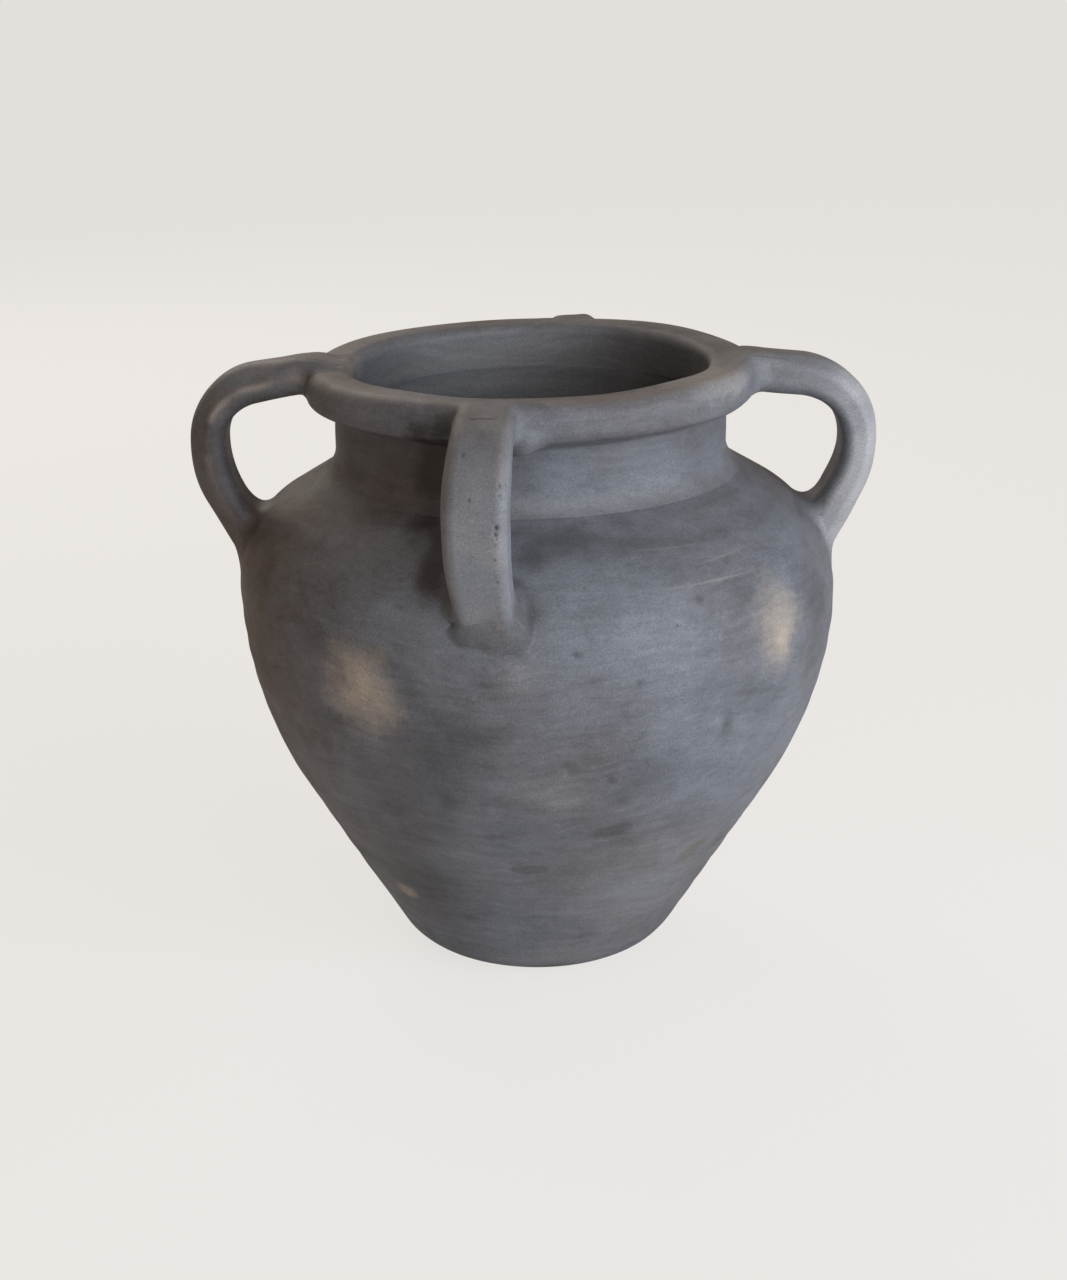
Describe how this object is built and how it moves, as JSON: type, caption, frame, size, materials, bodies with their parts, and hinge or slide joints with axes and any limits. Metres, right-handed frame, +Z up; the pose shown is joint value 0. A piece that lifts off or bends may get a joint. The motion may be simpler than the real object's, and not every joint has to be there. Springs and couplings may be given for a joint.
{
  "type": "clay olla",
  "caption": "Blackened clay olla: broad-shouldered round jar on a small flat base, with a short neck, a thick rolled rim and strap handles from rim to shoulder.",
  "frame": {"origin": "centre of the flat underside, on the pot's axis", "axes": "+Z up along the pot's axis, +X towards the right handle, -Y towards the front"},
  "size_m": [0.442, 0.4386, 0.401],
  "materials": {
    "blackened_clay": "unglazed, smoke-blackened and lightly burnished, matt with a soft sheen"
  },
  "bodies": {
    "root": {"base_slab": "blackened_clay", "lower_wall": "blackened_clay", "shoulder_wall": "blackened_clay", "neck_collar": "blackened_clay", "rim_coil": "blackened_clay", "front_handle": "blackened_clay", "front_handle_top_pad": "blackened_clay", "front_handle_foot_pad": "blackened_clay", "back_handle": "blackened_clay", "back_handle_top_pad": "blackened_clay", "back_handle_foot_pad": "blackened_clay", "left_handle": "blackened_clay", "left_handle_top_pad": "blackened_clay", "left_handle_foot_pad": "blackened_clay", "right_handle": "blackened_clay", "right_handle_top_pad": "blackened_clay", "right_handle_foot_pad": "blackened_clay"}
  },
  "joints": []
}
